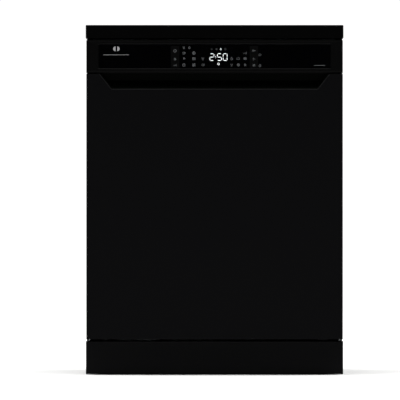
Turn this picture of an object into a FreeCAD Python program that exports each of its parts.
"""A 60 cm dishwasher with a drop-down front door, two pull-out wire baskets and a worktop.

Millimetres. X is to the right, Y to the back and Z up. The origin is on the floor, at the centre of
the footprint. Every piece is a node of its own in parts/, and its place is its real place at rest,
with the door closed and both baskets pushed in.
"""
import FreeCAD, Part
import math
import os

V = FreeCAD.Vector
AXIS = {"x": V(1, 0, 0), "y": V(0, 1, 0), "z": V(0, 0, 1)}

# ---------------------------------------------------------------- driving dimensions
WIDTH = 600.0
HEIGHT = 815.0
DEPTH = 600.0
SHEET = 0.8                  # painted steel of the casing and the door
TUB_WALL = 0.8               # stainless steel of the wash tub
PLASTIC_WALL = 3.0           # moulded base, sump and fascia

# front elevation
WORKTOP_THICK = 30.0
WORKTOP_GAP = 4.5            # shadow gap between the worktop and the fascia
FASCIA_HEIGHT = 78.5
PARTING_GAP = 0.8            # line between the fascia and the door panel
PLINTH_TOP = 78.0
PLINTH_GAP = 5.5             # gap between the plinth and the door
PLINTH_RECESS = 39.0
PLINTH_CLEARANCE = 1.5       # the plinth hangs just clear of the floor
DOOR_REVEAL = 1.5            # the door is this much narrower than the worktop, each side
WINDOW_MARGIN = 30.0         # from the worktop's side to the glossy window
WINDOW_DROP = 9.3            # from the fascia's top to the window
WINDOW_RISE = 10.8           # from the fascia's lower edge to the window
WINDOW_THICK = 1.8
POCKET_TOP_MARGIN = 32.0     # from the worktop's side to the pocket's top corner
POCKET_SLOPE_RUN = 28.0      # how far each end of the pocket slopes in towards its floor
POCKET_HEIGHT = 35.0
POCKET_DEPTH = 37.0
POCKET_RISE = 14.0           # how far the pocket goes up behind the fascia's lip
POCKET_WALL = 2.0
LIP_DEPTH = 14.0             # thickness of the fascia's finger lip

# door and hinge
DOOR_SET_BACK = 1.0          # door face behind the worktop's front edge
DOOR_THICK = 55.0
BODY_GAP = 4.0               # between the door's inner face and the casing
HINGE_BACK = 22.0            # hinge axis behind the door's face
HINGE_RISE = 28.5            # hinge axis above the door's lower edge
PIN_R = 5.0
RUNNING = 0.1                # radial clearance of a turning fit
CAM_R = 16.0                 # radius at which the spring cord leaves the hinge cam
CORD_R = 1.5
SPRING_R = 5.5
SPRING_WIRE_R = 1.0
SPRING_PITCH = 6.0
SPRING_LENGTH = 190.0

# wash tub
TUB_SIDE_SPACE = 35.0        # from the casing's side to the tub's inside
TUB_BACK_SPACE = 38.0
TUB_TOP_SPACE = 28.0
TUB_CORNER_R = 30.0
TUB_FLANGE = 18.0
REAR_SPACE = 10.0            # the back panel stands this far inside the worktop's back edge
FUNNEL_DROP = 17.0
SUMP_HALF_X = 122.0
SUMP_HALF_Y = 117.0
SUMP_DEPTH = 64.0

# base
BASE_FLOOR_Z = 20.0
BASE_WALL_TOP = 118.0
FOOT_R = 20.0
FOOT_STEM_R = 5.0
FOOT_BOSS_R = 16.0
FOOT_BOSS_TOP = 90.0

# baskets
WIRE_FRAME_R = 3.0
WIRE_MAIN_R = 2.0
WIRE_FINE_R = 1.6
WIRE_BITE = 0.6              # how far two welded wires sink into each other
TINE_PLAY = 0.4              # gap under the tine rows that fold
WIRE_PITCH = 42.0
LOWER_BASKET_SIDE_GAP = 15.0
LOWER_BASKET_FRONT_GAP = 19.0
LOWER_BASKET_BACK_GAP = 20.0
LOWER_BASKET_RISE = 55.0     # floor wires above the wheel track
LOWER_BASKET_WALL = 110.0
WHEEL_R = 19.0
WHEEL_WIDTH = 10.0
WHEEL_LIFT = 0.3
AXLE_R = 3.0
CARRIER_R = 2.4
WHEEL_FRONT_SETBACK = 125.0  # front of the front wheels behind the door
TINE_HEIGHT = 72.0
TINE_PITCH = 28.0
TINE_ROW_PITCH = 85.0
UPPER_BASKET_SIDE_GAP = 30.0
UPPER_BASKET_RISE = 305.0    # upper basket's floor above the wheel track
UPPER_BASKET_WALL = 95.0
UPPER_TINE_HEIGHT = 42.0
CUP_SHELF_WIDTH = 85.0
CUP_SHELF_RISE = 68.0

# spray arms, filter and hydraulics
ARM_SIDE_CLEARANCE = 50.0
ARM_THICK = 14.0
ARM_PIN_R = 8.0
LOWER_ARM_RISE = 25.0        # lower arm's underside above the wheel track
UPPER_ARM_DROP = 46.0        # upper arm's underside below the upper basket's floor
FEED_TUBE_R = 9.0
CUP_R = 38.0
PUMP_STOP = 6.0              # space under and over the circulation pump
SALT_NECK_R = 30.0
INLET_THREAD_R = 13.2        # G3/4 outside
DRAIN_SPIGOT_R = 10.0
CABLE_BORE_R = 4.2
GLAND_R = 9.0
FITTING_NUT = 4.0            # thickness of the fittings' lock nuts
FITTING_PLAY = 0.5           # gap round each fitting in its hole

# dispenser in the inner door
DISPENSER_X = -10.0
DISPENSER_WIDTH = 160.0
DISPENSER_HEIGHT = 120.0
DISPENSER_DROP = 127.0       # from the pocket's floor down to the dispenser
DISPENSER_LID_TRAVEL = 66.0

# ---------------------------------------------------------------- places worked out from them
HALF_W = WIDTH / 2
FRONT_Y = -DEPTH / 2
BACK_Y = DEPTH / 2
WORKTOP_Z = HEIGHT - WORKTOP_THICK
FASCIA_TOP = WORKTOP_Z - WORKTOP_GAP
FASCIA_BOTTOM = FASCIA_TOP - FASCIA_HEIGHT
DOOR_TOP = FASCIA_BOTTOM - PARTING_GAP
DOOR_BOTTOM = PLINTH_TOP + PLINTH_GAP
DOOR_HALF = HALF_W - DOOR_REVEAL
DOOR_Y = FRONT_Y + DOOR_SET_BACK
LINER_Y = DOOR_Y + DOOR_THICK
BODY_Y = LINER_Y + BODY_GAP
BODY_BACK = BACK_Y - REAR_SPACE
CASE_HALF = HALF_W - 2.0
HINGE_Y = DOOR_Y + HINGE_BACK
HINGE_Z = DOOR_BOTTOM + HINGE_RISE
TRACK_Z = HINGE_Z + LINER_Y - HINGE_Y     # the open door's liner is level with the tub's track

TUB_HALF = HALF_W - TUB_SIDE_SPACE
TUB_BACK = BODY_BACK - TUB_BACK_SPACE
TUB_TOP = WORKTOP_Z - TUB_TOP_SPACE
TUB_MID_Y = (BODY_Y + TUB_BACK) / 2
FLANGE_HALF = TUB_HALF + TUB_FLANGE
HINGE_ZONE_TOP = TRACK_Z + 5.0            # the casing's front flanges start above the hinges

WINDOW_HALF = HALF_W - WINDOW_MARGIN
WINDOW_TOP = FASCIA_TOP - WINDOW_DROP
WINDOW_BOTTOM = FASCIA_BOTTOM + WINDOW_RISE
POCKET_HALF_TOP = HALF_W - POCKET_TOP_MARGIN
POCKET_HALF_FLOOR = POCKET_HALF_TOP - POCKET_SLOPE_RUN
POCKET_FLOOR = FASCIA_BOTTOM - POCKET_HEIGHT
POCKET_CEILING = FASCIA_BOTTOM + POCKET_RISE
POCKET_BACK = DOOR_Y + POCKET_DEPTH
LINER_FOLD = 41.0                         # depth of the liner's folded edges
LINER_HALF = DOOR_HALF - PLASTIC_WALL - 0.5
LINER_FOOT_HALF = TUB_HALF + 15.0         # and between the hinges
LINER_BOTTOM = HINGE_Z - 12.0
LINER_TOP = FASCIA_TOP - 4.5
DISH_HALF = TUB_HALF - 51.0
DISH_DEPTH = 12.0
DISH_Y = LINER_Y - DISH_DEPTH
LINER_STEP = TRACK_Z + 25.0               # height where the liner widens above the hinges

FUNNEL_Z = TRACK_Z - FUNNEL_DROP
SUMP_FLOOR = FUNNEL_Z - TUB_WALL - SUMP_DEPTH
ARM_R = min(TUB_HALF - ARM_SIDE_CLEARANCE, (TUB_BACK - BODY_Y) / 2 - 36.0)
LOWER_ARM_Z = TRACK_Z + LOWER_ARM_RISE
UPPER_FLOOR_Z = TRACK_Z + UPPER_BASKET_RISE
UPPER_ARM_Z = UPPER_FLOOR_Z - UPPER_ARM_DROP
FEED_Z = UPPER_FLOOR_Z - 18.0
RAIL_Z = UPPER_FLOOR_Z + 45.0             # centre of the telescopic rails

LOWER_FLOOR_Z = TRACK_Z + LOWER_BASKET_RISE
LOWER_HALF = TUB_HALF - LOWER_BASKET_SIDE_GAP
LOWER_FRONT = LINER_Y + LOWER_BASKET_FRONT_GAP
LOWER_BACK = TUB_BACK - LOWER_BASKET_BACK_GAP
UPPER_HALF = TUB_HALF - UPPER_BASKET_SIDE_GAP
UPPER_FRONT = LOWER_FRONT + 10.0
UPPER_BACK = LOWER_BACK - 10.0
WHEEL_Z = TRACK_Z + WHEEL_LIFT + WHEEL_R
WHEEL_FRONT_Y = LINER_Y + WHEEL_FRONT_SETBACK + WHEEL_R
WHEEL_REAR_Y = LOWER_BACK - 65.0
WHEEL_X = LOWER_HALF - 4.0                # middle of the wheel's width
TINE_ROD_R = 2.2
MAT_TOP = WIRE_MAIN_R + 2 * WIRE_FINE_R - WIRE_BITE   # top of the fine wires over the floor's middle
CUP_X, CUP_Y = 70.0, TUB_MID_Y - 56.0
SALT_X, SALT_Y = -165.0, TUB_MID_Y - 146.0
FOOT_X = HALF_W - 45.0
FOOT_FRONT_Y = BODY_Y + 40.0
FOOT_REAR_Y = BODY_BACK - 40.0
RECESS_Y = BODY_BACK - 28.0               # wall that the hose and cable fittings stand on
INLET_X, DRAIN_X, GLAND_X, FITTING_Z = -200.0, -130.0, -75.0, 72.0

ARM_PLATE_X = LINER_FOOT_HALF             # hinge plate's inner face
CORD_X = ARM_PLATE_X + 4.0
BRACKET_X = HALF_W - 9.0
CORD_Z = HINGE_Z + CAM_R
SPRING_FRONT = BODY_Y + 60.0
DISPENSER_Z = POCKET_FLOOR - DISPENSER_DROP - DISPENSER_HEIGHT
STRIKE_Z = TUB_TOP + 14.0                 # above the tub's flange and its seal
LATCH_BOTTOM = STRIKE_Z - 22.0
FLANGE_TOP = TUB_TOP + 12.0


# ---------------------------------------------------------------- small tools
def box(x0, x1, y0, y1, z0, z1):
    """A block between two corners."""
    return Part.makeBox(x1 - x0, y1 - y0, z1 - z0, V(x0, y0, z0))


def cylinder(x, y, z, radius, length, axis="z"):
    """A cylinder whose first end is centred on the point."""
    return Part.makeCylinder(radius, length, V(x, y, z), AXIS[axis])


def rod(start, end, radius):
    """A straight wire between two points."""
    run = V(*end) - V(*start)
    return Part.makeCylinder(radius, run.Length, V(*start), run)


def prism(points, axis, low, high):
    """A closed outline drawn across the axis, in X, Y, Z order, and pulled along it."""
    place = {"x": lambda a, b: V(low, a, b),
             "y": lambda a, b: V(a, low, b),
             "z": lambda a, b: V(a, b, low)}
    corners = [place[axis](a, b) for a, b in points]
    face = Part.Face(Part.makePolygon(corners + corners[:1]))
    return face.extrude(AXIS[axis] * (high - low))


def rounded(shape, radius, axis):
    """Rounds every straight edge that runs along the axis."""
    along = [e for e in shape.Edges
             if isinstance(e.Curve, Part.Line) and abs(e.Curve.Direction.dot(AXIS[axis])) > 0.999]
    return shape.makeFillet(radius, along)


def rounded_edges(shape, radius, wanted):
    """Rounds the edges whose middle point passes the test."""
    return shape.makeFillet(radius, [e for e in shape.Edges if wanted(e.CenterOfMass)])


def rounded_rectangle(half_x, y0, y1, z, radius):
    """A closed wire at height z with rounded corners."""
    block = rounded(box(-half_x, half_x, y0, y1, z, z + 1), radius, "z")
    flat = [f for f in block.Faces if abs(f.CenterOfMass.z - z) < 1e-6]
    return flat[0].OuterWire


def funnel(top_half, top_y, top_z, low_half, low_y, low_z, top_r, low_r):
    """A solid that narrows from one rounded rectangle down to another."""
    upper = rounded_rectangle(top_half, top_y[0], top_y[1], top_z, top_r)
    lower = rounded_rectangle(low_half, low_y[0], low_y[1], low_z, low_r)
    return Part.makeLoft([upper, lower], True, True)


def joined(shapes):
    """One welded solid from several that run into each other."""
    return shapes[0].fuse(shapes[1:]).removeSplitter()


def mirrored(shape):
    """The same piece on the other side of the machine."""
    return shape.mirror(V(0, 0, 0), AXIS["x"])


def pair(shape):
    """The right-hand piece and its left-hand twin."""
    return [shape, mirrored(shape)]


def spaced(low, high, pitch):
    """Places at an even spacing near the pitch, with both ends."""
    steps = max(1, round((high - low) / pitch))
    return [low + (high - low) * i / steps for i in range(steps + 1)]


def save(node, *solids):
    """Writes one node; several solids stay separate solids in it."""
    shape = solids[0] if len(solids) == 1 else Part.makeCompound(list(solids))
    for solid in shape.Solids:
        if not solid.isValid() or solid.Volume <= 0:
            raise ValueError(node + " has a bad solid")
    shape.exportStep(os.path.join("parts", node + ".step"))
    print(f"{node}: {len(shape.Solids)} solids, {shape.Volume / 1000:.1f} cm3")


# ---------------------------------------------------------------- casing
def worktop():
    """Laminated board with eased edges."""
    board = rounded(box(-HALF_W, HALF_W, FRONT_Y, BACK_Y, WORKTOP_Z, HEIGHT), 3.0, "z")
    return rounded_edges(board, 2.0, lambda c: c.z > HEIGHT - 0.01)


def side_panel():
    """Right-hand steel side with folded front and rear flanges."""
    inner = CASE_HALF - SHEET
    web = box(inner, CASE_HALF, BODY_Y, BODY_BACK, 40.0, WORKTOP_Z - 1.0)
    front = box(FLANGE_HALF + 1.0, CASE_HALF, BODY_Y, BODY_Y + SHEET, HINGE_ZONE_TOP, WORKTOP_Z - 1.0)
    rear = box(FLANGE_HALF - 1.0, CASE_HALF, BODY_BACK - SHEET, BODY_BACK, 60.0, WORKTOP_Z - 1.0)
    return joined([web, front, rear])


def rear_panel():
    """Back sheet with pressed beads and a row of vents, above the base."""
    top = WORKTOP_Z - 3.0
    bottom = TRACK_Z - 5.0
    sheet = box(-FLANGE_HALF, FLANGE_HALF, BODY_BACK, BODY_BACK + SHEET, bottom, top)
    bead_half = FLANGE_HALF - 45.0
    for z in spaced(bottom + 90.0, top - 130.0, 130.0):
        outside = rounded(box(-bead_half, bead_half, BODY_BACK, BODY_BACK + 4.0, z - 14, z + 14), 13.0, "y")
        inside = rounded(box(-bead_half + 2, bead_half - 2, BODY_BACK - 1, BODY_BACK + 3.0, z - 12, z + 12),
                         11.0, "y")
        sheet = sheet.fuse(outside).cut(inside)
    for x in spaced(-120.0, 120.0, 24.0):
        slot = rounded(box(x - 3, x + 3, BODY_BACK - 5, BODY_BACK + 5, top - 70, top - 30), 2.9, "y")
        sheet = sheet.cut(slot)
    return sheet.removeSplitter()


def front_crossmember():
    """Top front channel, with the strike that the door latch closes on."""
    top = WORKTOP_Z - 1.0
    bottom = TUB_TOP + 5.0
    y0 = BODY_Y + 1.5
    web = box(-FLANGE_HALF, FLANGE_HALF, y0, y0 + 1.2, bottom, top)
    upper = box(-FLANGE_HALF, FLANGE_HALF, y0, y0 + 33.0, top - 1.2, top)
    lower = box(-FLANGE_HALF, FLANGE_HALF, y0, y0 + 33.0, bottom, bottom + 1.2)
    tongue = box(-11.0, 11.0, LINER_Y - 18.0, y0 + 1.2, STRIKE_Z, STRIKE_Z + 4.0)
    window = box(-6.0, 6.0, LINER_Y - 12.0, LINER_Y - 4.0, STRIKE_Z - 1, STRIKE_Z + 5.0)
    return joined([web, upper, lower, rounded(tongue, 3.0, "z")]).cut(window)


def base_tray():
    """Moulded base: floor, outer walls, foot bosses, tub posts and the rear fittings recess."""
    outer_x, y0, y1 = CASE_HALF - SHEET, BODY_Y + 4.0, BODY_BACK - 2.0
    wall = PLASTIC_WALL
    floor = box(-outer_x, outer_x, y0, y1, BASE_FLOOR_Z, BASE_FLOOR_Z + wall)
    sides = pair(box(outer_x - wall, outer_x, y0, y1, BASE_FLOOR_Z, BASE_WALL_TOP))
    front = box(-outer_x, outer_x, y0, y0 + wall, BASE_FLOOR_Z, PLINTH_TOP - 2.0)
    rear = box(-outer_x, outer_x, y1 - wall, y1, BASE_FLOOR_Z, TRACK_Z - 6.0)
    parts = [floor, front, rear] + sides
    for y in (FOOT_FRONT_Y, FOOT_REAR_Y):
        parts += pair(cylinder(FOOT_X, y, BASE_FLOOR_Z, FOOT_BOSS_R, FOOT_BOSS_TOP - BASE_FLOOR_Z))
    for y in (BODY_Y + 90.0, TUB_BACK - 72.0):
        parts += pair(box(TUB_HALF - 23.0, TUB_HALF - 3.0, y - 20, y + 20, BASE_FLOOR_Z,
                          TRACK_Z - TUB_WALL))
    ribs = [box(-outer_x, outer_x, y - 1, y + 1, BASE_FLOOR_Z, BASE_FLOOR_Z + 9.0)
            for y in spaced(y0 + 60.0, y1 - 60.0, 80.0)]
    spring_end = SPRING_FRONT + SPRING_LENGTH + SPRING_WIRE_R + 1.5
    lugs = pair(box(CORD_X - 5, CORD_X + 5, spring_end, spring_end + 8, BASE_FLOOR_Z, CORD_Z + 7))
    left, right, low, high = -245.0, -35.0, 36.0, 112.0
    housing = box(left, right, RECESS_Y - wall, y1, low, high)
    recess = box(left + wall, right - wall, RECESS_Y, BACK_Y, low + wall, high - wall)
    tray = joined(parts + ribs + lugs + [housing]).cut(recess)
    for y in (FOOT_FRONT_Y, FOOT_REAR_Y):
        for x in (-FOOT_X, FOOT_X):
            tray = tray.cut(cylinder(x, y, 0, FOOT_STEM_R + RUNNING, HEIGHT / 2))
    for x, radius in ((INLET_X, INLET_THREAD_R), (DRAIN_X, DRAIN_SPIGOT_R), (GLAND_X, GLAND_R)):
        tray = tray.cut(cylinder(x, RECESS_Y - 20, FITTING_Z, radius + FITTING_PLAY, 40.0, "y"))
    return tray.removeSplitter()


def plinth():
    """Kick plate with folded ends and two tabs that clip to the base."""
    y0 = DOOR_Y + PLINTH_RECESS
    plate = box(-HALF_W, HALF_W, y0, y0 + 2.0, PLINTH_CLEARANCE, PLINTH_TOP)
    plate = rounded_edges(plate, 1.2, lambda c: c.y < y0 + 0.01)
    ends = pair(box(HALF_W - 2.0, HALF_W, y0 + 1.0, BODY_Y + 4.0, PLINTH_CLEARANCE, PLINTH_TOP))
    lip = box(-HALF_W, HALF_W, y0 + 1.0, y0 + 14.0, PLINTH_TOP - 2.0, PLINTH_TOP)
    tabs = pair(box(150.0, 185.0, y0 + 1.0, BODY_Y + 4.0, 40.0, 43.0))
    return joined([plate, lip] + ends + tabs)


def foot(x, y):
    """Screw foot: rubber-soled disc, hexagon and stem."""
    disc = rounded_edges(cylinder(x, y, 0, FOOT_R, 7.0), 1.5, lambda c: True)
    hexagon = prism([(x + 9 * math.cos(a), y + 9 * math.sin(a))
                     for a in (math.radians(60 * i) for i in range(6))], "z", 6.0, 14.0)
    stem = cylinder(x, y, 6.0, FOOT_STEM_R, FOOT_BOSS_TOP - 10.0)
    return joined([disc, hexagon, stem])


def screw(x, y, z, axis, sign, head_r=3.6):
    """Pan head with a hexagon socket, standing on a face; sign is the way the head points."""
    centre = V(x, y, z)
    way = AXIS[axis] * sign
    head = Part.makeCylinder(head_r, 1.6, centre, way)
    head = rounded_edges(head, 0.7, lambda c: (c - centre).dot(way) > 1.5)
    return head.cut(Part.makeCylinder(1.5, 1.2, centre + way * 0.8, way))


def casing_screws():
    """Screws that hold the back panel to the side panels' flanges and to the base."""
    face = BODY_BACK + SHEET
    side = [screw(x, face, z, "y", 1) for z in spaced(TRACK_Z + 25.0, WORKTOP_Z - 25.0, 150.0)
            for x in (-FLANGE_HALF + 9.0, FLANGE_HALF - 9.0)]
    return side + [screw(x, face, WORKTOP_Z - 12.0, "y", 1) for x in (-150.0, 0.0, 150.0)]


# ---------------------------------------------------------------- wash tub
def tub_shell():
    """Side walls, ceiling and back of the tub, with the sealing flange round its mouth."""
    def drawn(grow):
        """The tub's form with rounded top and back corners, grown by a wall thickness."""
        body = box(-TUB_HALF - grow, TUB_HALF + grow, BODY_Y, TUB_BACK + grow, TRACK_Z - TUB_WALL,
                   TUB_TOP + grow)
        return rounded_edges(body, TUB_CORNER_R + grow, lambda c: (
            (c.z > TUB_TOP - 1 and c.y > BODY_Y + 1)
            or (c.y > TUB_BACK - 1 and abs(c.x) > TUB_HALF - 1)))
    inside = drawn(0)
    shell = drawn(TUB_WALL).cut(inside)
    flange = box(-FLANGE_HALF, FLANGE_HALF, BODY_Y, BODY_Y + TUB_WALL, HINGE_ZONE_TOP, FLANGE_TOP)
    return shell.fuse(flange).cut(inside).removeSplitter()


def tub_floor():
    """Drawn floor: wheel tracks round the edge, a funnel to the sump and the front dam."""
    mid = TUB_MID_Y
    wide = (TUB_HALF - 53.0, (BODY_Y + 45.0, TUB_BACK - 47.0))
    low = (SUMP_HALF_X + 3.0, (mid - SUMP_HALF_Y - 3.0, mid + SUMP_HALF_Y + 3.0))
    plate = box(-TUB_HALF, TUB_HALF, BODY_Y + TUB_WALL, TUB_BACK, TRACK_Z - TUB_WALL, TRACK_Z)
    plate = rounded_edges(plate, TUB_CORNER_R, lambda c: c.y > TUB_BACK - 1 and abs(c.x) > TUB_HALF - 1)
    inner = funnel(wide[0], wide[1], TRACK_Z, low[0], low[1], FUNNEL_Z, 60.0, 40.0)
    outer = funnel(wide[0] + 1.2, (wide[1][0] - 1.2, wide[1][1] + 1.2), TRACK_Z - 0.01,
                   low[0] + 1.2, (low[1][0] - 1.2, low[1][1] + 1.2), FUNNEL_Z - TUB_WALL, 61.2, 41.2)
    dam = box(-TUB_HALF, TUB_HALF, BODY_Y, BODY_Y + TUB_WALL, LINER_BOTTOM + 16.0, TRACK_Z)
    floor = joined([plate, outer, dam]).cut(inner)
    mouth = rounded(box(-SUMP_HALF_X + 6, SUMP_HALF_X - 6, mid - SUMP_HALF_Y + 6, mid + SUMP_HALF_Y - 6,
                        FUNNEL_Z - 5, FUNNEL_Z + 5), 34.0, "z")
    neck = cylinder(SALT_X, SALT_Y, FUNNEL_Z - 20, SALT_NECK_R + 0.5, 60.0)
    riser = box(-12.5, 12.5, TUB_BACK - 12.5, TUB_BACK + 1, TRACK_Z - 5, TRACK_Z + 5)
    return floor.cut(mouth).cut(neck).cut(riser).removeSplitter()


def tub_gasket():
    """Rubber seal round the mouth of the tub: two uprights and the top run."""
    y0, y1 = LINER_Y + 0.3, BODY_Y
    outer = rounded_edges(box(-TUB_HALF - 14, TUB_HALF + 14, y0, y1, TRACK_Z + 6.0, FLANGE_TOP - 1.5), 24.0,
                          lambda c: c.z > TUB_TOP and abs(c.x) > TUB_HALF)
    inner = rounded_edges(box(-TUB_HALF - 3, TUB_HALF + 3, y0 - 1, y1 + 1, TRACK_Z, TUB_TOP + 2.0), 14.0,
                          lambda c: c.z > TUB_TOP and abs(c.x) > TUB_HALF)
    return outer.cut(inner)


def insulation_mats():
    """Bitumen mats on the tub's sides and top."""
    thick = 3.5
    outside = TUB_HALF + TUB_WALL
    side = box(outside, outside + thick, BODY_Y + 20.0, TUB_BACK - TUB_CORNER_R, TRACK_Z + 15.0,
               TUB_TOP - TUB_CORNER_R)
    reach = TUB_HALF - TUB_CORNER_R
    top = box(-reach, reach, BODY_Y + 40.0, TUB_BACK - TUB_CORNER_R, TUB_TOP + TUB_WALL,
              TUB_TOP + TUB_WALL + thick)
    return pair(side) + [top]


# ---------------------------------------------------------------- water side
def sump():
    """Moulded bowl under the tub floor, with the lower spray arm's pedestal and two pump sockets."""
    wall, mid = PLASTIC_WALL, TUB_MID_Y
    top = FUNNEL_Z - TUB_WALL
    bowl = rounded(box(-SUMP_HALF_X, SUMP_HALF_X, mid - SUMP_HALF_Y, mid + SUMP_HALF_Y, SUMP_FLOOR, top),
                   38, "z")
    hollow = rounded(box(-SUMP_HALF_X + wall, SUMP_HALF_X - wall, mid - SUMP_HALF_Y + wall,
                         mid + SUMP_HALF_Y - wall, SUMP_FLOOR + wall, top + 1), 35, "z")
    bowl = bowl.cut(hollow)
    column = cylinder(0, mid, SUMP_FLOOR, 16.0, LOWER_ARM_Z - 0.3 - SUMP_FLOOR)
    pin = cylinder(0, mid, LOWER_ARM_Z - 10, ARM_PIN_R, ARM_THICK + 13.0)
    cap = rounded_edges(cylinder(0, mid, LOWER_ARM_Z + ARM_THICK + 2.5, 13.0, 4.0), 1.5,
                        lambda c: c.z > LOWER_ARM_Z + ARM_THICK + 6)
    return joined([bowl, column, pin, cap])


def filter_plate():
    """Perforated stainless plate over the sump."""
    mid, z0 = TUB_MID_Y, FUNNEL_Z
    half_x, half_y = SUMP_HALF_X + 1.5, SUMP_HALF_Y + 1.5
    plate = rounded(box(-half_x, half_x, mid - half_y, mid + half_y, z0, z0 + 1.5), 38.0, "z")
    holes = [cylinder(0, mid, z0 - 5, 17.5, 10), cylinder(CUP_X, CUP_Y, z0 - 5, CUP_R + 2.0, 10)]
    for x in spaced(-half_x + 20, half_x - 20, 15.0):
        for y in spaced(mid - half_y + 20, mid + half_y - 20, 15.0):
            clear_cup = math.hypot(x - CUP_X, y - CUP_Y) > CUP_R + 11
            clear_corner = math.hypot(max(abs(x) - half_x + 38, 0), max(abs(y - mid) - half_y + 38, 0)) < 30
            if clear_cup and clear_corner and math.hypot(x, y - mid) > 26:
                holes.append(cylinder(x, y, z0 - 5, 2.4, 10))
    return plate.cut(Part.makeCompound(holes))


def filter_cup():
    """Coarse filter that lifts out: flanged cup with slotted wall and a grip across its top."""
    z0 = FUNNEL_Z + 1.8
    rim = rounded_edges(cylinder(CUP_X, CUP_Y, z0, CUP_R + 6, 4.0), 1.2, lambda c: c.z > z0 + 3.9)
    wall_z = SUMP_FLOOR + PLASTIC_WALL + 4.0
    wall = cylinder(CUP_X, CUP_Y, wall_z, CUP_R, z0 + 1 - wall_z)
    cup = joined([rim, wall]).cut(cylinder(CUP_X, CUP_Y, wall_z + 2.0, CUP_R - 2, 90.0))
    slots = []
    for turn in range(6):
        slot = box(-3.0, 3.0, 0, CUP_R + 2, wall_z + 10, z0 - 10)
        slot.rotate(V(0, 0, 0), AXIS["z"], 60 * turn + 30)
        slot.translate(V(CUP_X, CUP_Y, 0))
        slots.append(slot)
    grip = rounded(box(CUP_X - CUP_R - 1, CUP_X + CUP_R + 1, CUP_Y - 4, CUP_Y + 4, z0 + 2, z0 + 16),
                   3.0, "y")
    return cup.cut(Part.makeCompound(slots)).fuse(grip).removeSplitter()


def softener_tank():
    """Salt and resin tank beside the sump, with the neck that comes up through the tub floor."""
    tank = box(-238.0, -SUMP_HALF_X - 6, SALT_Y - 50, SALT_Y + 160, BASE_FLOOR_Z + 12, FUNNEL_Z - 12)
    tank = rounded(tank, 14.0, "z")
    neck = cylinder(SALT_X, SALT_Y, FUNNEL_Z - 20, SALT_NECK_R, TRACK_Z + 2 - FUNNEL_Z + 20)
    bore = cylinder(SALT_X, SALT_Y, FUNNEL_Z - 60, SALT_NECK_R - 3, 120.0)
    return joined([tank, neck]).cut(bore)


def salt_cap():
    """Screw cap on the softener's neck, with a grip bar."""
    z0 = TRACK_Z + 2.3
    disc = rounded_edges(cylinder(SALT_X, SALT_Y, z0, SALT_NECK_R + 3, 8.0), 2.0, lambda c: c.z > z0 + 7.9)
    plug = cylinder(SALT_X, SALT_Y, z0 - 12, SALT_NECK_R - 3 - RUNNING * 2, 13.0)
    grip = rounded(box(SALT_X - 24, SALT_X + 24, SALT_Y - 4, SALT_Y + 4, z0 + 6, z0 + 15), 3.0, "y")
    return joined([disc, plug, grip])


def circulation_pump():
    """Motor, volute and the spigot into the sump."""
    y, z = TUB_MID_Y + 54.0, SUMP_FLOOR + 14.0
    volute_r = min(z - BASE_FLOOR_Z - PLASTIC_WALL, FUNNEL_Z - TUB_WALL - z) - PUMP_STOP
    spigot = cylinder(SUMP_HALF_X, y, z, 12.0, 12.0, "x")
    volute = rounded_edges(cylinder(SUMP_HALF_X + 10, y, z, volute_r, 26.0, "x"), 4.0, lambda c: True)
    motor = rounded_edges(cylinder(SUMP_HALF_X + 36, y, z, volute_r - 7, 78.0, "x"), 5.0,
                          lambda c: c.x > SUMP_HALF_X + 100)
    rings = [cylinder(SUMP_HALF_X + 46 + 14 * i, y, z, volute_r - 4, 5.0, "x") for i in range(4)]
    return joined([spigot, volute, motor] + rings)


def drain_pump():
    """Small synchronous pump on the sump's front corner."""
    y, z = TUB_MID_Y - 60.0, SUMP_FLOOR + 26.0
    spigot = cylinder(SUMP_HALF_X, y, z, 13.0, 8.0, "x")
    housing = rounded_edges(cylinder(SUMP_HALF_X + 6, y, z, 26.0, 22.0, "x"), 3.0, lambda c: True)
    coil = rounded(box(SUMP_HALF_X + 28, SUMP_HALF_X + 72, y - 20, y + 20, z - 20, z + 20), 4.0, "x")
    return joined([spigot, housing, coil])


def air_break_tank():
    """Flat labyrinth tank between the tub and the left side panel."""
    x0, x1 = -CASE_HALF + SHEET + 0.5, -TUB_HALF - TUB_WALL - 4.5
    y0, y1, z0, z1 = BODY_Y + 170.0, TUB_BACK - 60.0, TRACK_Z + 20.0, TRACK_Z + 330.0
    tank = rounded(box(x0, x1, y0, y1, z0, z1), 25.0, "x")
    for z in spaced(z0 + 45.0, z1 - 45.0, 45.0):
        tank = tank.cut(box(x1 - 2.0, x1 + 1, y0 + 25, y1 - 25, z - 3, z + 3))
    return tank


def hexagon(x, z, radius, y0, y1):
    """A lock nut that faces the back."""
    corners = [math.radians(60 * i) for i in range(6)]
    return prism([(x + radius * math.cos(a), z + radius * math.sin(a)) for a in corners], "y", y0, y1)


def inlet_valve():
    """Solenoid valve whose G3/4 thread takes the fill hose, held by a lock nut."""
    inside = RECESS_Y - PLASTIC_WALL
    body = rounded(box(INLET_X - 20, INLET_X + 20, inside - 43, inside - 3, FITTING_Z - 20, FITTING_Z + 20),
                   5.0, "y")
    collar = cylinder(INLET_X, inside - 3, FITTING_Z, 20.0, 3.0, "y")
    thread = cylinder(INLET_X, inside - 3, FITTING_Z, INLET_THREAD_R, 36.0, "y")
    nut = hexagon(INLET_X, FITTING_Z, INLET_THREAD_R + 5.0, RECESS_Y, RECESS_Y + FITTING_NUT)
    bore = cylinder(INLET_X, inside - 30, FITTING_Z, INLET_THREAD_R - 3.0, 80.0, "y")
    return joined([body, collar, thread, nut]).cut(bore)


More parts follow.
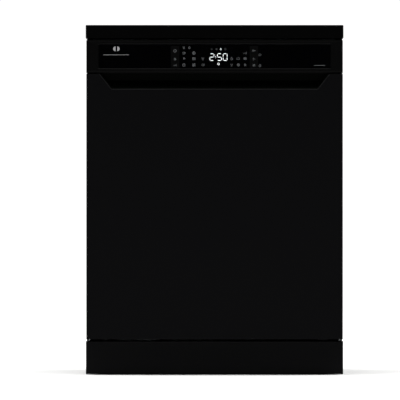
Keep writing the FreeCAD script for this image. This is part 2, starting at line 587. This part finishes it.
def drain_outlet():
    """Spigot that the drain hose pushes on to; a closed flap ends its bore inside the base."""
    inside = RECESS_Y - PLASTIC_WALL
    collar = cylinder(DRAIN_X, inside - 3, FITTING_Z, DRAIN_SPIGOT_R + 7.0, 3.0, "y")
    spigot = cylinder(DRAIN_X, inside - 27, FITTING_Z, DRAIN_SPIGOT_R, 60.0, "y")
    nut = hexagon(DRAIN_X, FITTING_Z, DRAIN_SPIGOT_R + 5.0, RECESS_Y, RECESS_Y + FITTING_NUT)
    bore = cylinder(DRAIN_X, inside - 24, FITTING_Z, DRAIN_SPIGOT_R - 2.5, 90.0, "y")
    return joined([collar, spigot, nut]).cut(bore)


def cable_gland():
    """Gland that the mains lead comes through."""
    start, end = RECESS_Y - 10.0, RECESS_Y + 16.0
    sleeve = rounded_edges(cylinder(GLAND_X, start, FITTING_Z, GLAND_R, end - start, "y"), 2.0,
                           lambda c: c.y > end - 0.1)
    nut = hexagon(GLAND_X, FITTING_Z, GLAND_R + 3.0, RECESS_Y, RECESS_Y + 2 * FITTING_NUT)
    return joined([nut, sleeve]).cut(cylinder(GLAND_X, start - 10, FITTING_Z, CABLE_BORE_R, 60.0, "y"))


def feed_pipe():
    """Duct from the sump up the back of the tub to the upper arm's dock and the ceiling nozzle."""
    mid, back = TUB_MID_Y, TUB_BACK
    sump_back = mid + SUMP_HALF_Y
    duct = box(-12, 12, sump_back, back - 0.2, FUNNEL_Z - 32, FUNNEL_Z - 17)
    stub = box(-12, 12, back - 12, back - 0.2, FUNNEL_Z - 32, TRACK_Z + 10)
    riser = rounded(box(-16, 16, back - 14, back - 0.2, TRACK_Z + 0.3, TUB_TOP - 1), 4.0, "z")
    ceiling = rounded(box(-16, 16, mid, back - 0.2, TUB_TOP - 14, TUB_TOP - 0.2), 4.0, "y")
    nozzle = rounded_edges(cylinder(0, mid, TUB_TOP - 21, 32.0, 14.0), 4.0, lambda c: c.z < TUB_TOP - 20.9)
    dock = cylinder(0, back - 26, FEED_Z, FEED_TUBE_R + 4.5, 14.0, "y")
    mouth = cylinder(0, back - 30, FEED_Z, FEED_TUBE_R + 0.8, 20.0, "y")
    jets = [cylinder(18 * math.cos(a), mid + 18 * math.sin(a), TUB_TOP - 25, 2.2, 10.0)
            for a in (math.radians(45 * i) for i in range(8))]
    corner_y, corner_z = back - TUB_CORNER_R, TUB_TOP - TUB_CORNER_R
    corner = box(-20, 20, corner_y, back + 1, corner_z, TUB_TOP + 1)
    corner = corner.cut(cylinder(-20, corner_y, corner_z, TUB_CORNER_R - 0.3, 40, "x"))
    pipe = joined([duct, stub, riser, ceiling, nozzle, dock])
    return pipe.cut([mouth, corner] + jets)


def spray_arm(z0):
    """Two tapered blades on a bored hub; the jets are on the upper face."""
    mid = TUB_MID_Y
    blade = prism([(-ARM_R, mid - 13), (0, mid - 25), (ARM_R, mid - 13), (ARM_R, mid + 13), (0, mid + 25),
                   (-ARM_R, mid + 13)], "z", z0, z0 + ARM_THICK)
    blade = rounded(blade, 11.0, "z")
    blade = rounded_edges(blade, 4.0, lambda c: c.z < z0 + 0.01 or c.z > z0 + ARM_THICK - 0.01)
    hub = cylinder(0, mid, z0, 29.0, ARM_THICK)
    arm = joined([blade, rounded_edges(hub, 3.0, lambda c: True)])
    jets = [cylinder(sign * (55 + 32 * i), mid + sign * (6 - 3 * (i % 3)), z0 + ARM_THICK - 3, 2.5, 5.0)
            for sign in (-1, 1) for i in range(int((ARM_R - 60) / 32) + 1)]
    return arm.cut(Part.makeCompound(jets)).cut(cylinder(0, mid, z0 - 5, ARM_PIN_R + RUNNING, 40.0))


def upper_feed_tube():
    """Tube under the upper basket that docks at the back and carries the upper spray arm."""
    mid = TUB_MID_Y
    tube = cylinder(0, mid, FEED_Z, FEED_TUBE_R, TUB_BACK - 20 - mid, "y")
    head_z = UPPER_ARM_Z + ARM_THICK + 0.5
    head = cylinder(0, mid, head_z, 17.0, UPPER_FLOOR_Z - WIRE_MAIN_R - head_z)
    head = rounded_edges(head, 2.0, lambda c: True)
    pin = cylinder(0, mid, UPPER_ARM_Z - 3, ARM_PIN_R, ARM_THICK + 8)
    nut = rounded_edges(cylinder(0, mid, UPPER_ARM_Z - 6, 15.0, 5.5), 1.5, lambda c: c.z < UPPER_ARM_Z - 5)
    return joined([tube, head, pin, nut])


# ---------------------------------------------------------------- door
def door_outer_panel():
    """Painted steel skin with folded sides and the cut-out for the handle pocket."""
    y1 = LINER_Y - 2.0

    def skin(inset, low, high):
        """The pan's outside, or its inside one sheet smaller."""
        block = box(-DOOR_HALF + inset, DOOR_HALF - inset, DOOR_Y + inset, y1, low, high)
        return rounded_edges(block, 3.0 - inset, lambda c: c.y < DOOR_Y + 2 and abs(c.x) > DOOR_HALF - 2)
    pan = skin(0, DOOR_BOTTOM, DOOR_TOP).cut(skin(SHEET, DOOR_BOTTOM + SHEET, DOOR_TOP + 5))
    cut_out = prism([(-POCKET_HALF_FLOOR, POCKET_FLOOR), (POCKET_HALF_FLOOR, POCKET_FLOOR),
                     (POCKET_HALF_TOP, FASCIA_BOTTOM + 1), (-POCKET_HALF_TOP, FASCIA_BOTTOM + 1)],
                    "y", DOOR_Y - 1, DOOR_Y + 3)
    swing = LINER_Y - 2.0 - HINGE_Y
    keep = cylinder(-HALF_W, HINGE_Y, HINGE_Z, swing, WIDTH, "x")
    corner = box(-HALF_W, HALF_W, HINGE_Y, y1 + 1, DOOR_BOTTOM - 1, HINGE_Z).cut(keep)
    notch = pair(box(LINER_FOOT_HALF - 2, DOOR_HALF - SHEET, DOOR_Y + 10, y1 + 1, DOOR_BOTTOM - 1,
                     DOOR_BOTTOM + 5))
    return pan.cut(cut_out).cut(corner).cut(notch[0]).cut(notch[1])


def handle_pocket():
    """Moulded finger pocket: open at the front, and it runs up behind the fascia's lip."""
    def scoop(grow):
        """The pocket's hollow, or its outside one wall larger."""
        y_front = DOOR_Y + 1.2 - (1 if grow == 0 else 0)
        lip_y = DOOR_Y + LIP_DEPTH + 2.0
        side = prism([(y_front, POCKET_FLOOR + POCKET_WALL - grow),
                      (POCKET_BACK - 12, POCKET_FLOOR + 5 - grow),
                      (POCKET_BACK + grow, POCKET_FLOOR + 20 - grow),
                      (POCKET_BACK + grow, POCKET_CEILING + grow),
                      (lip_y - grow, POCKET_CEILING + grow),
                      (lip_y - grow, FASCIA_BOTTOM - 0.4),
                      (y_front, FASCIA_BOTTOM - 0.4)], "x", -HALF_W, HALF_W)
        floor_half = POCKET_HALF_FLOOR - POCKET_WALL + grow - 0.3
        top_half = POCKET_HALF_TOP - POCKET_WALL + grow - 0.3
        front = prism([(-floor_half, POCKET_FLOOR - 10), (floor_half, POCKET_FLOOR - 10),
                       (floor_half, POCKET_FLOOR), (top_half, FASCIA_BOTTOM),
                       (top_half, POCKET_CEILING + 10), (-top_half, POCKET_CEILING + 10),
                       (-top_half, FASCIA_BOTTOM), (-floor_half, POCKET_FLOOR)], "y", DOOR_Y, LINER_Y)
        return side.common(front)
    return scoop(POCKET_WALL).cut(scoop(0))


def door_inner_panel():
    """Stainless liner: flat sealing rim, dished middle, folded edges and the dispenser's cut-out."""
    fold = LINER_Y - LINER_FOLD
    wide = box(-LINER_HALF, LINER_HALF, fold, LINER_Y, LINER_STEP, LINER_TOP)
    foot_part = box(-LINER_FOOT_HALF, LINER_FOOT_HALF, fold, LINER_Y, LINER_BOTTOM, LINER_STEP + 5)
    wide_in = box(-LINER_HALF + SHEET, LINER_HALF - SHEET, fold - 1, LINER_Y - SHEET, LINER_STEP + SHEET,
                  LINER_TOP - SHEET)
    foot_in = box(-LINER_FOOT_HALF + SHEET, LINER_FOOT_HALF - SHEET, fold - 1, LINER_Y - SHEET,
                  LINER_BOTTOM + SHEET, LINER_STEP + 8)
    pan = wide.fuse(foot_part).cut(wide_in).cut(foot_in)

    def dish(grow):
        """The pressed hollow, drawn lying flat and then stood up against the liner's plane."""
        low, high = LINER_STEP + 10.0, LINER_TOP - 44.0
        hollow = funnel(DISH_HALF + grow, (low - grow, high + grow), 0.0, DISH_HALF - 9 + grow,
                        (low + 9 - grow, high - 9 + grow), -DISH_DEPTH - grow, 36.0, 30.0)
        hollow.rotate(V(0, 0, 0), AXIS["x"], 90)
        hollow = hollow.mirror(V(0, 0, 0), AXIS["y"])
        hollow.translate(V(0, LINER_Y, 0))
        return hollow
    pan = pan.fuse(dish(SHEET)).cut(dish(0))
    dispenser_hole = box(DISPENSER_X + 4, DISPENSER_X + DISPENSER_WIDTH - 4, fold, DISH_Y + 5,
                         DISPENSER_Z + 4, DISPENSER_Z + DISPENSER_HEIGHT - 4)
    latch_slot = box(-13, 13, LINER_Y - 24, LINER_Y + 1, STRIKE_Z - 1.5, LINER_TOP + 1)
    arm_slots = pair(box(ARM_PLATE_X, ARM_PLATE_X + 2.5, fold - 1, LINER_Y - SHEET, LINER_STEP - 1,
                         LINER_STEP + SHEET + 1))
    return pan.cut([dispenser_hole, latch_slot] + arm_slots).removeSplitter()


def control_fascia():
    """Moulded control panel: rounded top and bottom edges, window seat and the finger lip."""
    wall = PLASTIC_WALL
    body = box(-DOOR_HALF, DOOR_HALF, DOOR_Y, LINER_Y - 3.0, FASCIA_BOTTOM, FASCIA_TOP)
    body = rounded_edges(body, 5.0, lambda c: c.y < DOOR_Y + 0.1 and c.z > FASCIA_TOP - 0.1)
    body = rounded_edges(body, 7.0, lambda c: c.y < DOOR_Y + 0.1 and c.z < FASCIA_BOTTOM + 0.1)
    body = rounded_edges(body, 2.5, lambda c: c.y < DOOR_Y + 0.1 and abs(c.x) > DOOR_HALF - 0.1)
    hollow = box(-DOOR_HALF + wall, DOOR_HALF - wall, DOOR_Y + wall + WINDOW_THICK, LINER_Y,
                 FASCIA_BOTTOM + wall, FASCIA_TOP - wall)
    lip_end = DOOR_Y + LIP_DEPTH - 0.4
    behind_lip = box(-DOOR_HALF + wall, DOOR_HALF - wall, lip_end, LINER_Y, FASCIA_BOTTOM - 1,
                     FASCIA_BOTTOM + wall + 1)
    lip = box(-POCKET_HALF_TOP - 3, POCKET_HALF_TOP + 3, DOOR_Y + 4, lip_end, FASCIA_BOTTOM + 0.5,
              FASCIA_BOTTOM + POCKET_RISE - 5)
    seat = rounded(box(-WINDOW_HALF - 0.3, WINDOW_HALF + 0.3, DOOR_Y - 1, DOOR_Y + WINDOW_THICK + 0.2,
                       WINDOW_BOTTOM - 0.3, WINDOW_TOP + 0.3), 3.3, "y")
    display_hole = box(-46, 46, DOOR_Y, DOOR_Y + 12, WINDOW_BOTTOM + 8, WINDOW_TOP - 6)
    return body.cut(hollow).cut(behind_lip).fuse(lip).cut(seat).cut(display_hole).removeSplitter()


def display_window():
    """Glossy black window over the display and the touch keys."""
    pane = rounded(box(-WINDOW_HALF, WINDOW_HALF, DOOR_Y + 0.2, DOOR_Y + 0.2 + WINDOW_THICK,
                       WINDOW_BOTTOM, WINDOW_TOP), 3.0, "y")
    return rounded_edges(pane, 0.5, lambda c: c.y < DOOR_Y + 0.21)


def control_module():
    """Electronics box behind the window, with its connectors."""
    y0 = DOOR_Y + PLASTIC_WALL + WINDOW_THICK
    z0 = POCKET_CEILING + POCKET_WALL + 2.0
    high = LATCH_BOTTOM - 2.0 - z0
    case = rounded(box(-150, 150, y0, y0 + 30, z0, z0 + high), 3.0, "y")
    plugs = [box(x, x + 22, y0 + 30, y0 + 38, z0 + 0.2 * high, z0 + 0.6 * high)
             for x in (-120, -80, 60, 95)]
    display = box(-45, 45, y0 - 2.5, y0, z0 + 3, z0 + high - 1)
    return joined([case, display] + plugs)


def door_latch():
    """Latch body at the top of the door, slotted for the strike."""
    top = LINER_TOP - SHEET - 0.3
    body = rounded(box(-36, 36, LINER_Y - 40, LINER_Y - SHEET - 0.3, LATCH_BOTTOM, top), 2.0, "y")
    slot = box(-13, 13, LINER_Y - 22, LINER_Y, STRIKE_Z - 1.5, top + 1)
    return body.cut(slot)


def dispenser_body():
    """Detergent chamber, rinse-aid filler seat and the lid's guide rails on one moulding."""
    x0, x1 = DISPENSER_X, DISPENSER_X + DISPENSER_WIDTH
    z0, z1 = DISPENSER_Z, DISPENSER_Z + DISPENSER_HEIGHT
    face = DISH_Y + 7.0
    plate = rounded(box(x0, x1, DISH_Y, face, z0, z1), 10.0, "y")
    plate = rounded_edges(plate, 1.5, lambda c: c.y > face - 0.01)
    back = box(x0 + 5, x1 - 5, DISH_Y - 34, DISH_Y, z0 + 5, z1 - 5)
    chamber = rounded(box(x0 + 12, x0 + 72, DISH_Y - 26, face + 1, z0 + 14, z0 + 66), 8.0, "y")
    rails = [box(x0 + 3, x1 - 3, face - 1, face + 4.5, z, z + 3.2) for z in (z0 + 4, z0 + 74.4)]
    cap = rinse_centre()
    bore = cylinder(cap[0], DISH_Y - 20, cap[1], 10 + RUNNING, 40.0, "y")
    return joined([plate, back] + rails).cut(chamber).cut(bore)


def dispenser_lid():
    """Lid that slides sideways off the detergent chamber."""
    face = DISH_Y + 7.3
    z0 = DISPENSER_Z
    lid = box(DISPENSER_X + 5, DISPENSER_X + 79, face, face + 3.6, z0 + 7.6, z0 + 74.0)
    grip = box(DISPENSER_X + 12, DISPENSER_X + 18, face + 3, face + 6.0, z0 + 22, z0 + 58)
    return joined([rounded(lid, 4.0, "y"), rounded(grip, 2.5, "y")])


def rinse_centre():
    """Centre of the rinse-aid cap in the door's plane."""
    return DISPENSER_X + DISPENSER_WIDTH - 32, DISPENSER_Z + DISPENSER_HEIGHT - 22


def rinse_aid_cap():
    """Quarter-turn filler cap with a grip bar."""
    x, z = rinse_centre()
    face = DISH_Y + 7.3
    disc = rounded_edges(cylinder(x, face, z, 17.0, 4.0, "y"), 1.2, lambda c: c.y > face + 3.9)
    plug = cylinder(x, face - 12, z, 10.0, 13.0, "y")
    grip = rounded(box(x - 12, x + 12, face + 3, face + 8, z - 3, z + 3), 2.0, "y")
    return joined([disc, plug, grip])


def door_bottom_seal():
    """Rubber strip along the foot of the liner."""
    reach = LINER_Y + 3.0
    return rounded_edges(box(-TUB_HALF + 3, TUB_HALF - 3, LINER_Y, reach, HINGE_Z - 5, HINGE_Z + 5), 1.4,
                         lambda c: c.y > reach - 0.01 and abs(c.x) < TUB_HALF - 4)


def door_screws():
    """Screws down both edges of the liner and along its top."""
    x = (TUB_HALF + 14 + LINER_HALF) / 2
    heights = spaced(LINER_STEP + 30, LINER_TOP - 25, 120.0)
    sides = [screw(side * x, LINER_Y, z, "y", 1, 3.2) for z in heights for side in (-1, 1)]
    return sides


def hinge_bracket():
    """Right-hand bracket on the base, with the pin that the door's hinge plate turns on."""
    nose = cylinder(BRACKET_X, HINGE_Y, HINGE_Z, 10.0, 3.0, "x")
    neck = prism([(HINGE_Y, HINGE_Z - 10), (BODY_Y + 8, HINGE_Z - 10), (BODY_Y + 8, 60.0),
                  (BODY_Y + 95, 60.0), (BODY_Y + 95, BASE_WALL_TOP), (BODY_Y + 20, HINGE_Z + 28),
                  (BODY_Y + 4, HINGE_Z + 20), (HINGE_Y, HINGE_Z + 10)], "x", BRACKET_X, BRACKET_X + 3)
    pin = cylinder(ARM_PLATE_X + 0.2, HINGE_Y, HINGE_Z, PIN_R, BRACKET_X + 1 - ARM_PLATE_X, "x")
    spacer = cylinder(ARM_PLATE_X + 6.4, HINGE_Y, HINGE_Z, 8.0, BRACKET_X + 1 - ARM_PLATE_X - 6.4, "x")
    return joined([nose, neck, pin, spacer])


def hinge_arm():
    """Right-hand plate on the door, with the cam that the spring cord wraps."""
    x0 = ARM_PLATE_X
    top = LINER_STEP + 150.0
    plate = prism([(HINGE_Y - 12, HINGE_Z - 4), (HINGE_Y + 12, HINGE_Z - 4), (HINGE_Y + 15, HINGE_Z + 40),
                   (LINER_Y - SHEET, LINER_STEP + 8), (LINER_Y - SHEET, top), (DOOR_Y + 12, top),
                   (DOOR_Y + 12, LINER_STEP)], "x", x0, x0 + 2)
    disc = cylinder(x0, HINGE_Y, HINGE_Z, CAM_R - CORD_R - 0.1, 6.0, "x")
    return joined([plate, disc]).cut(cylinder(x0 - 1, HINGE_Y, HINGE_Z, PIN_R + RUNNING, 10.0, "x"))


def spring_cord():
    """Right-hand cord from the top of the hinge cam back to the spring's eye."""
    strand = rod((CORD_X, HINGE_Y, CORD_Z), (CORD_X, SPRING_FRONT - 12, CORD_Z), CORD_R)
    eye = box(CORD_X - 2.5, CORD_X + 2.5, SPRING_FRONT - 14, SPRING_FRONT - 0.5, CORD_Z - 4, CORD_Z + 4)
    return joined([strand, rounded(eye, 2.0, "x")])


def balance_spring():
    """Right-hand extension spring that balances the door, from the cord's eye to the base's lug."""
    coil = Part.makeHelix(SPRING_PITCH, SPRING_LENGTH, SPRING_R)
    section = Part.Wire(Part.makeCircle(SPRING_WIRE_R, V(SPRING_R, 0, 0), AXIS["y"]))
    spring = Part.Wire(coil).makePipeShell([section], True, True)
    spring.rotate(V(0, 0, 0), AXIS["x"], -90)
    spring.translate(V(CORD_X, SPRING_FRONT + 1.5, CORD_Z))
    return spring


# ---------------------------------------------------------------- baskets
def basket_floor(half_x, y0, y1, z):
    """Welded floor mat: a frame, cross wires and the finer wires that run over them."""
    frame = [rod((-half_x, y, z), (half_x, y, z), WIRE_FRAME_R) for y in (y0, y1)]
    frame += [rod((x, y0, z), (x, y1, z), WIRE_FRAME_R) for x in (-half_x, half_x)]
    cross = [rod((-half_x, y, z), (half_x, y, z), WIRE_MAIN_R) for y in spaced(y0, y1, WIRE_PITCH)[1:-1]]
    over = z + WIRE_MAIN_R + WIRE_FINE_R - WIRE_BITE
    runs = [rod((x, y0, over), (x, y1, over), WIRE_FINE_R)
            for x in spaced(-half_x, half_x, WIRE_PITCH)[1:-1]]
    return joined(frame + cross + runs)


def upright_mat(ends, z0, z1, fixed, axis):
    """A side of a basket: a rim, a middle wire and uprights between z0 and z1."""
    def at(along, z):
        """The point at that distance along the wall."""
        return (fixed, along, z) if axis == "y" else (along, fixed, z)
    low, high = ends
    middle = (z0 + z1) / 2
    rim = rod(at(low, z1), at(high, z1), WIRE_FRAME_R)
    rail_wire = rod(at(low, middle), at(high, middle), WIRE_FINE_R)
    uprights = [rod(at(a, z0), at(a, z1), WIRE_MAIN_R)
                for a in spaced(low + WIRE_FRAME_R, high - WIRE_FRAME_R, WIRE_PITCH)]
    return joined([rim, rail_wire] + uprights)


def basket_walls(half_x, y0, y1, z, height):
    """Four separate side mats that stand on the floor's frame."""
    foot_z, top = z + WIRE_FRAME_R, z + height
    inset = 2 * WIRE_FRAME_R + 0.5
    return [upright_mat((y0 + inset, y1 - inset), foot_z, top, -half_x, "y"),
            upright_mat((y0 + inset, y1 - inset), foot_z, top, half_x, "y"),
            upright_mat((-half_x, half_x), foot_z, top, y0, "x"),
            upright_mat((-half_x, half_x), foot_z, top, y1, "x")]


def tine_row(half_x, y, z, height, pitch):
    """A row of prongs on one rod."""
    base = rod((-half_x, y, z), (half_x, y, z), TINE_ROD_R)
    prongs = [rod((x, y, z), (x, y, z + height), WIRE_FINE_R + 0.2)
              for x in spaced(-half_x + 12, half_x - 12, pitch)]
    return joined([base] + prongs)


def tine_rows():
    """Y places of the lower basket's tine rows, from the back; the last two fold."""
    rows = []
    y = LOWER_BACK - 20.0
    while y > LOWER_FRONT + 165.0:
        rows.insert(0, y)
        y -= TINE_ROW_PITCH
    return rows


def wheel_carrier(y):
    """Right-hand wire V under the basket's floor, with the axle that the wheel turns on."""
    inner = WHEEL_X - WHEEL_WIDTH / 2 - 3.0
    top = LOWER_FLOOR_Z - WIRE_MAIN_R - CARRIER_R
    reach = 0.8 * WIRE_PITCH
    bar = rod((inner, y - reach, top), (inner, y + reach, top), CARRIER_R)
    legs = [rod((inner, y + side * 0.7 * reach, top), (inner, y, WHEEL_Z), CARRIER_R) for side in (-1, 1)]
    axle = cylinder(inner - 1.0, y, WHEEL_Z, AXLE_R, WHEEL_WIDTH + 6.0, "x")
    head = cylinder(inner + WHEEL_WIDTH + 4.0, y, WHEEL_Z, AXLE_R + 2, 1.5, "x")
    return joined([bar, axle, head] + legs)


def basket_wheel(y):
    """Right-hand wheel: a rim, a thin web and a bored hub."""
    x0 = WHEEL_X - WHEEL_WIDTH / 2
    outer = rounded_edges(cylinder(x0, y, WHEEL_Z, WHEEL_R, WHEEL_WIDTH, "x"), 1.5, lambda c: True)
    ring = cylinder(x0 - 1, y, WHEEL_Z, WHEEL_R - 4, 4.0, "x")
    ring = ring.cut(cylinder(x0 - 1, y, WHEEL_Z, 7.0, 4.0, "x"))
    ring_out = ring.copy()
    ring_out.translate(V(WHEEL_WIDTH - 2, 0, 0))
    bore = cylinder(x0 - 1, y, WHEEL_Z, AXLE_R + RUNNING, WHEEL_WIDTH + 2, "x")
    return outer.cut(ring).cut(ring_out).cut(bore)


def lower_basket():
    """Floor, four sides, the fixed tine rows and the wheel carriers."""
    floor = basket_floor(LOWER_HALF, LOWER_FRONT, LOWER_BACK, LOWER_FLOOR_Z)
    walls = basket_walls(LOWER_HALF, LOWER_FRONT, LOWER_BACK, LOWER_FLOOR_Z, LOWER_BASKET_WALL)
    z = LOWER_FLOOR_Z + MAT_TOP + TINE_ROD_R
    rows = [tine_row(LOWER_HALF - 12, y, z, TINE_HEIGHT, TINE_PITCH) for y in tine_rows()[:-2]]
    carriers = pair(wheel_carrier(WHEEL_FRONT_Y)) + pair(wheel_carrier(WHEEL_REAR_Y))
    return [floor] + walls + rows + carriers


def lower_basket_handle():
    """Moulded grip clipped to the front rim of the lower basket."""
    y1 = LOWER_FRONT - WIRE_FRAME_R
    z1 = LOWER_FLOOR_Z + LOWER_BASKET_WALL + 6
    grip = rounded(box(-85, 85, y1 - 8, y1, z1 - 30, z1), 3.5, "x")
    grip = rounded_edges(grip, 3.0, lambda c: abs(c.x) > 84.9 and abs(c.y - y1 + 4) < 3)
    return grip.cut(rounded(box(-68, 68, y1 - 9, y1 - 4, z1 - 23, z1 - 9), 2.0, "y"))


def cutlery_basket():
    """Moulded basket with slotted walls, one divider and a carrying bow."""
    x0, x1 = 22.0, LOWER_HALF - 24.0
    y0, y1 = LOWER_FRONT + 9.0, LOWER_FRONT + 95.0
    z0 = LOWER_FLOOR_Z + MAT_TOP
    z1 = z0 + 122.0
    shell = rounded(box(x0, x1, y0, y1, z0, z1), 8.0, "z")
    middle = (y0 + y1) / 2
    pockets = [rounded(box(x0 + 2.5, x1 - 2.5, a, b, z0 + 2.5, z1 + 1), 6.0, "z")
               for a, b in ((y0 + 2.5, middle - 1.2), (middle + 1.2, y1 - 2.5))]
    slots = [box(x - 4, x + 4, y0 - 1, y1 + 1, z, z + 20) for x in spaced(x0 + 18, x1 - 18, 17.0)
             for z in (z0 + 12, z0 + 40, z0 + 68)]
    bow = [box(x, x + 6, middle - 5, middle + 5, z1 - 20, z1 + 22) for x in (x0, x1 - 6)]
    bar = rounded(box(x0, x1, middle - 6, middle + 6, z1 + 18, z1 + 26), 3.0, "x")
    shell = shell.cut(Part.makeCompound(pockets)).cut(Part.makeCompound(slots))
    return shell.fuse(bow + [bar]).removeSplitter()


def upper_basket():
    """Floor, four sides and two short tine rows."""
    floor = basket_floor(UPPER_HALF, UPPER_FRONT, UPPER_BACK, UPPER_FLOOR_Z)
    walls = basket_walls(UPPER_HALF, UPPER_FRONT, UPPER_BACK, UPPER_FLOOR_Z, UPPER_BASKET_WALL)
    z = UPPER_FLOOR_Z + MAT_TOP + TINE_ROD_R
    rows = [tine_row(UPPER_HALF - 12, y, z, UPPER_TINE_HEIGHT, 34.0)
            for y in (TUB_MID_Y - 70, TUB_MID_Y + 70)]
    return [floor] + walls + rows


def cup_shelf():
    """Right-hand wire shelf that folds up against the basket's side."""
    z = UPPER_FLOOR_Z + CUP_SHELF_RISE
    hinge_x = UPPER_HALF - 7.0
    inner_x = hinge_x - CUP_SHELF_WIDTH
    y0, y1 = UPPER_FRONT + 55, UPPER_BACK - 35
    wires = [rod((x, y0, z), (x, y1, z), 2.2) for x in (hinge_x, inner_x)]
    wires += [rod((inner_x, y, z), (hinge_x, y, z), WIRE_FINE_R) for y in spaced(y0, y1, 34.0)]
    return joined(wires)


def rail(x_back, x_open, half_height, web, length):
    """Right-hand channel that opens towards the basket."""
    z0, z1 = RAIL_Z - half_height, RAIL_Z + half_height
    y0 = BODY_Y + 5.0
    y1 = y0 + length
    return joined([box(x_back - web, x_back, y0, y1, z0, z1), box(x_open, x_back, y0, y1, z0, z0 + web),
                   box(x_open, x_back, y0, y1, z1 - web, z1)])


def rail_length():
    """All three members of a telescopic rail end ahead of the tub's rounded corners."""
    return TUB_BACK - TUB_CORNER_R - 3.0 - BODY_Y - 5.0


def inner_rail():
    """Right-hand basket member of the telescopic rail, with its two hangers."""
    x1 = TUB_HALF - 4.0
    y0 = BODY_Y + 5.0
    bar = box(x1 - 9.0, x1, y0, y0 + rail_length(), RAIL_Z - 11, RAIL_Z + 11)
    hangers = [box(UPPER_HALF + WIRE_FRAME_R, x1 - 5.0, y - 14, y + 14, RAIL_Z - 8, RAIL_Z + 8)
               for y in (y0 + 90, y0 + rail_length() - 90)]
    return joined([bar] + hangers)


# ---------------------------------------------------------------- build
def main():
    """Builds every node and writes it."""
    os.makedirs("parts", exist_ok=True)
    save("worktop", worktop())
    right_side = side_panel()
    save("side_panel_right", right_side)
    save("side_panel_left", mirrored(right_side))
    save("rear_panel", rear_panel())
    save("front_crossmember", front_crossmember())
    save("base_tray", base_tray())
    save("plinth", plinth())
    save("casing_screws", *casing_screws())
    for side, x in (("left", -FOOT_X), ("right", FOOT_X)):
        save("foot_front_" + side, foot(x, FOOT_FRONT_Y))
        save("foot_rear_" + side, foot(x, FOOT_REAR_Y))

    save("tub_shell", tub_shell())
    save("tub_floor", tub_floor())
    save("tub_gasket", tub_gasket())
    save("insulation_mats", *insulation_mats())
    save("sump", sump())
    save("filter_plate", filter_plate())
    save("filter_cup", filter_cup())
    save("softener_tank", softener_tank())
    save("salt_cap", salt_cap())
    save("circulation_pump", circulation_pump())
    save("drain_pump", drain_pump())
    save("air_break_tank", air_break_tank())
    save("inlet_valve", inlet_valve())
    save("drain_outlet", drain_outlet())
    save("cable_gland", cable_gland())
    save("feed_pipe", feed_pipe())
    save("lower_spray_arm", spray_arm(LOWER_ARM_Z))
    save("upper_spray_arm", spray_arm(UPPER_ARM_Z))
    save("upper_feed_tube", upper_feed_tube())

    save("door_outer_panel", door_outer_panel())
    save("handle_pocket", handle_pocket())
    save("door_inner_panel", door_inner_panel())
    save("control_fascia", control_fascia())
    save("display_window", display_window())
    save("control_module", control_module())
    save("door_latch", door_latch())
    save("dispenser_body", dispenser_body())
    save("dispenser_lid", dispenser_lid())
    save("rinse_aid_cap", rinse_aid_cap())
    save("door_bottom_seal", door_bottom_seal())
    save("door_screws", *door_screws())
    save("hinge_brackets", *pair(hinge_bracket()))
    save("hinge_arms", *pair(hinge_arm()))
    save("spring_cords", *pair(spring_cord()))
    save("balance_springs", *pair(balance_spring()))

    save("lower_basket", *lower_basket())
    save("lower_basket_handle", lower_basket_handle())
    save("lower_wheels_front", *pair(basket_wheel(WHEEL_FRONT_Y)))
    save("lower_wheels_rear", *pair(basket_wheel(WHEEL_REAR_Y)))
    tine_z = LOWER_FLOOR_Z + MAT_TOP + TINE_PLAY + TINE_ROD_R
    for number, y in enumerate(tine_rows()[-2:], 1):
        save(f"folding_tines_{number}", tine_row(LOWER_HALF - 12, y, tine_z, TINE_HEIGHT, TINE_PITCH))
    save("cutlery_basket", cutlery_basket())
    save("upper_basket", *upper_basket())
    right_shelf = cup_shelf()
    save("cup_shelf_right", right_shelf)
    save("cup_shelf_left", mirrored(right_shelf))
    save("upper_rails_outer", *pair(rail(TUB_HALF, TUB_HALF - 13.0, 17.0, 1.2, rail_length())))
    save("upper_rails_middle", *pair(rail(TUB_HALF - 1.7, TUB_HALF - 15.0, 15.0, 1.2, rail_length())))
    save("upper_rails_inner", *pair(inner_rail()))


main()
